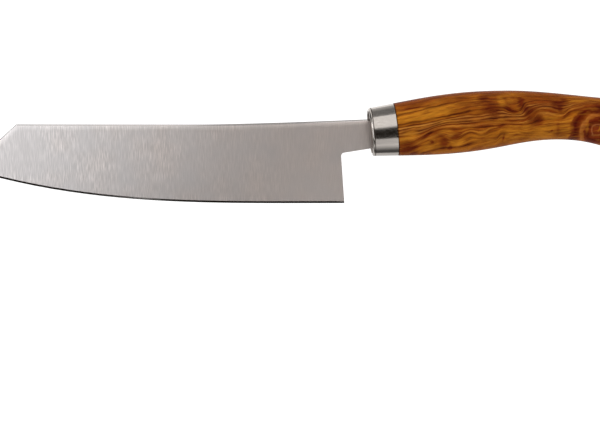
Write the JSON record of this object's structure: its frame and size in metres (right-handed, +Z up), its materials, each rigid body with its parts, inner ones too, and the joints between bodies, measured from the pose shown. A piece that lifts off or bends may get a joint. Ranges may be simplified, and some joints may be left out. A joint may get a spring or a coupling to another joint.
{
  "type": "chef's knife",
  "caption": "Chef's knife with a slanted-nose steel blade, an open heel, a short neck, an oval steel ferrule and a curved olive-wood handle.",
  "frame": {"origin": "the heel, where the cutting edge ends, in the middle plane of the blade", "axes": "+X along the knife to the butt of the handle, +Y through the thickness to the blade's right side, +Z up to the spine"},
  "size_m": [0.3225, 0.0234, 0.0544],
  "materials": {
    "blade_steel": "fine satin, ground across from spine to edge",
    "ferrule_steel": "polished",
    "plate_steel": "fine satin",
    "olive_wood": "oiled, semi-gloss",
    "adhesive": "cured, dull"
  },
  "bodies": {
    "root": {"blade": "blade_steel", "ferrule": "ferrule_steel", "ferrule_plate": "plate_steel", "handle": "olive_wood", "tang_bedding": "adhesive"}
  },
  "joints": []
}
